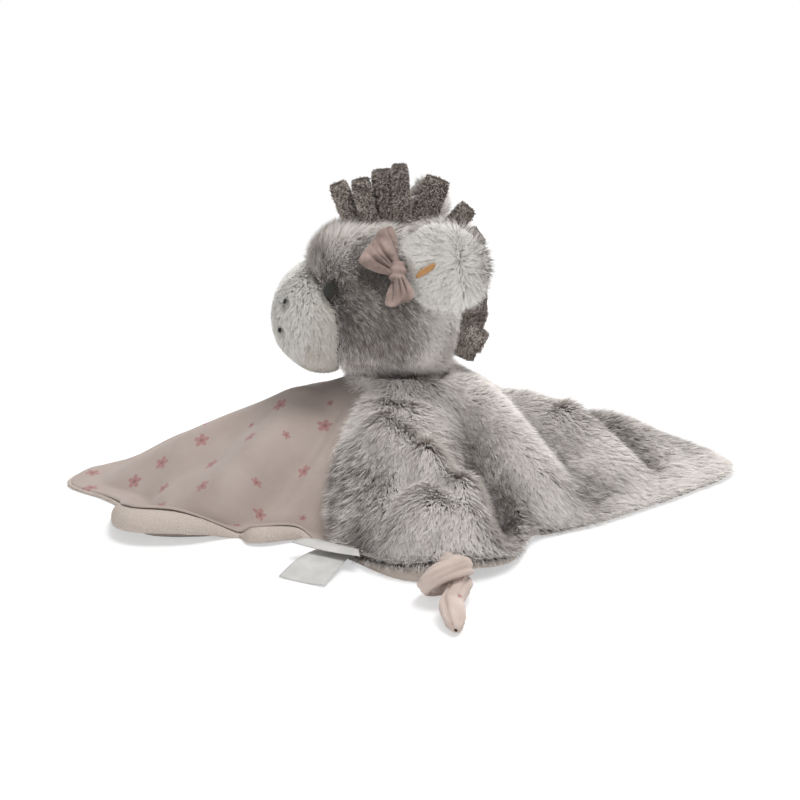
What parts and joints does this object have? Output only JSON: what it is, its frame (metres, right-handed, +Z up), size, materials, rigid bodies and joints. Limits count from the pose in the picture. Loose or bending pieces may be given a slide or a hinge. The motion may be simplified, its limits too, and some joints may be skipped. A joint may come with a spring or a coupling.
{
  "type": "comfort blanket",
  "caption": "Square comfort blanket of plush and printed cotton with a stuffed donkey's head on its middle, soft ears, a strip mane, a bow, knotted corner tails and a hem label.",
  "frame": {"origin": "on the floor, under the middle of the whole toy's box", "axes": "+Z up; the donkey looks towards -X; its right side, seen in the picture, faces -Y"},
  "size_m": [0.3326, 0.3718, 0.1655],
  "materials": {
    "velour": "short cream velour",
    "print_cotton": "pale pink cotton with small coral flowers",
    "grey_plush": "silver grey plush, darker at the roots",
    "white_plush": "white plush",
    "filling": "loose white polyester fibre",
    "terry": "taupe looped terry",
    "dark_thread": "dark embroidery thread",
    "orange_thread": "orange thread",
    "bow_cotton": "dusty pink woven cotton",
    "knot_cotton": "pale pink printed cotton",
    "satin": "white satin tape"
  },
  "bodies": {
    "blanket": {"blanket_backing": "velour", "blanket_print_panel": "print_cotton", "blanket_plush_panel": "grey_plush"},
    "neck": {"neck_core": "grey_plush"},
    "head": {"head_cover": "grey_plush", "muzzle_cover": "white_plush", "head_filling": "filling", "eye_near": "dark_thread", "eye_far": "dark_thread", "nostril_near": "dark_thread", "nostril_far": "dark_thread", "mouth_stitch_near": "dark_thread", "mouth_stitch_far": "dark_thread", "bow_knot": "bow_cotton", "bow_upper_loop": "bow_cotton", "bow_lower_loop": "bow_cotton", "mane_strip_01": "terry", "mane_strip_02": "terry", "mane_strip_03": "terry", "mane_strip_04": "terry", "mane_strip_05": "terry", "mane_strip_06": "terry", "mane_strip_07": "terry", "mane_strip_08": "terry", "mane_strip_09": "terry", "mane_strip_10": "terry", "mane_strip_11": "terry", "mane_strip_12": "terry", "mane_strip_13": "terry"},
    "ear_near": {"ear_near_front": "white_plush", "ear_near_back": "grey_plush", "ear_near_stitch": "orange_thread"},
    "ear_far": {"ear_far_front": "white_plush", "ear_far_back": "grey_plush"},
    "tail_near": {"tail_near": "knot_cotton"},
    "tail_far": {"tail_far": "knot_cotton"},
    "label": {"label_leaf": "satin", "label_tab": "satin"}
  },
  "joints": [
    {"name": "head_turn", "type": "hinge", "parent": "blanket", "child": "neck", "pos_m": [-0.00088, 0.00025, 0.066], "axis": [0, 0, 1], "range_deg": [-30, 30], "stiffness_Nm_per_rad": 0.1},
    {"name": "head_nod", "type": "hinge", "parent": "neck", "child": "head", "pos_m": [-0.00088, 0.00025, 0.066], "axis": [0, 1, 0], "range_deg": [-10, 8], "stiffness_Nm_per_rad": 0.15},
    {"name": "ear_near_flap", "type": "hinge", "parent": "head", "child": "ear_near", "pos_m": [0.00352, -0.02735, 0.12], "axis": [0, 0, -1], "range_deg": [0, 35], "stiffness_Nm_per_rad": 0.02},
    {"name": "ear_far_flap", "type": "hinge", "parent": "head", "child": "ear_far", "pos_m": [0.00142, 0.02895, 0.12], "axis": [0, 0, 1], "range_deg": [0, 30], "stiffness_Nm_per_rad": 0.02},
    {"name": "tail_near_lift", "type": "hinge", "parent": "blanket", "child": "tail_near", "pos_m": [0.02092, -0.12975, 0.012], "axis": [-1, 0, 0], "range_deg": [0, 70]},
    {"name": "tail_far_lift", "type": "hinge", "parent": "blanket", "child": "tail_far", "pos_m": [0.02092, 0.13025, 0.012], "axis": [1, 0, 0], "range_deg": [0, 70]},
    {"name": "label_flip", "type": "hinge", "parent": "blanket", "child": "label", "pos_m": [-0.02838, -0.09475, 0.005], "axis": [-0.8832, 0.4691, 0], "range_deg": [0, 90]}
  ]
}
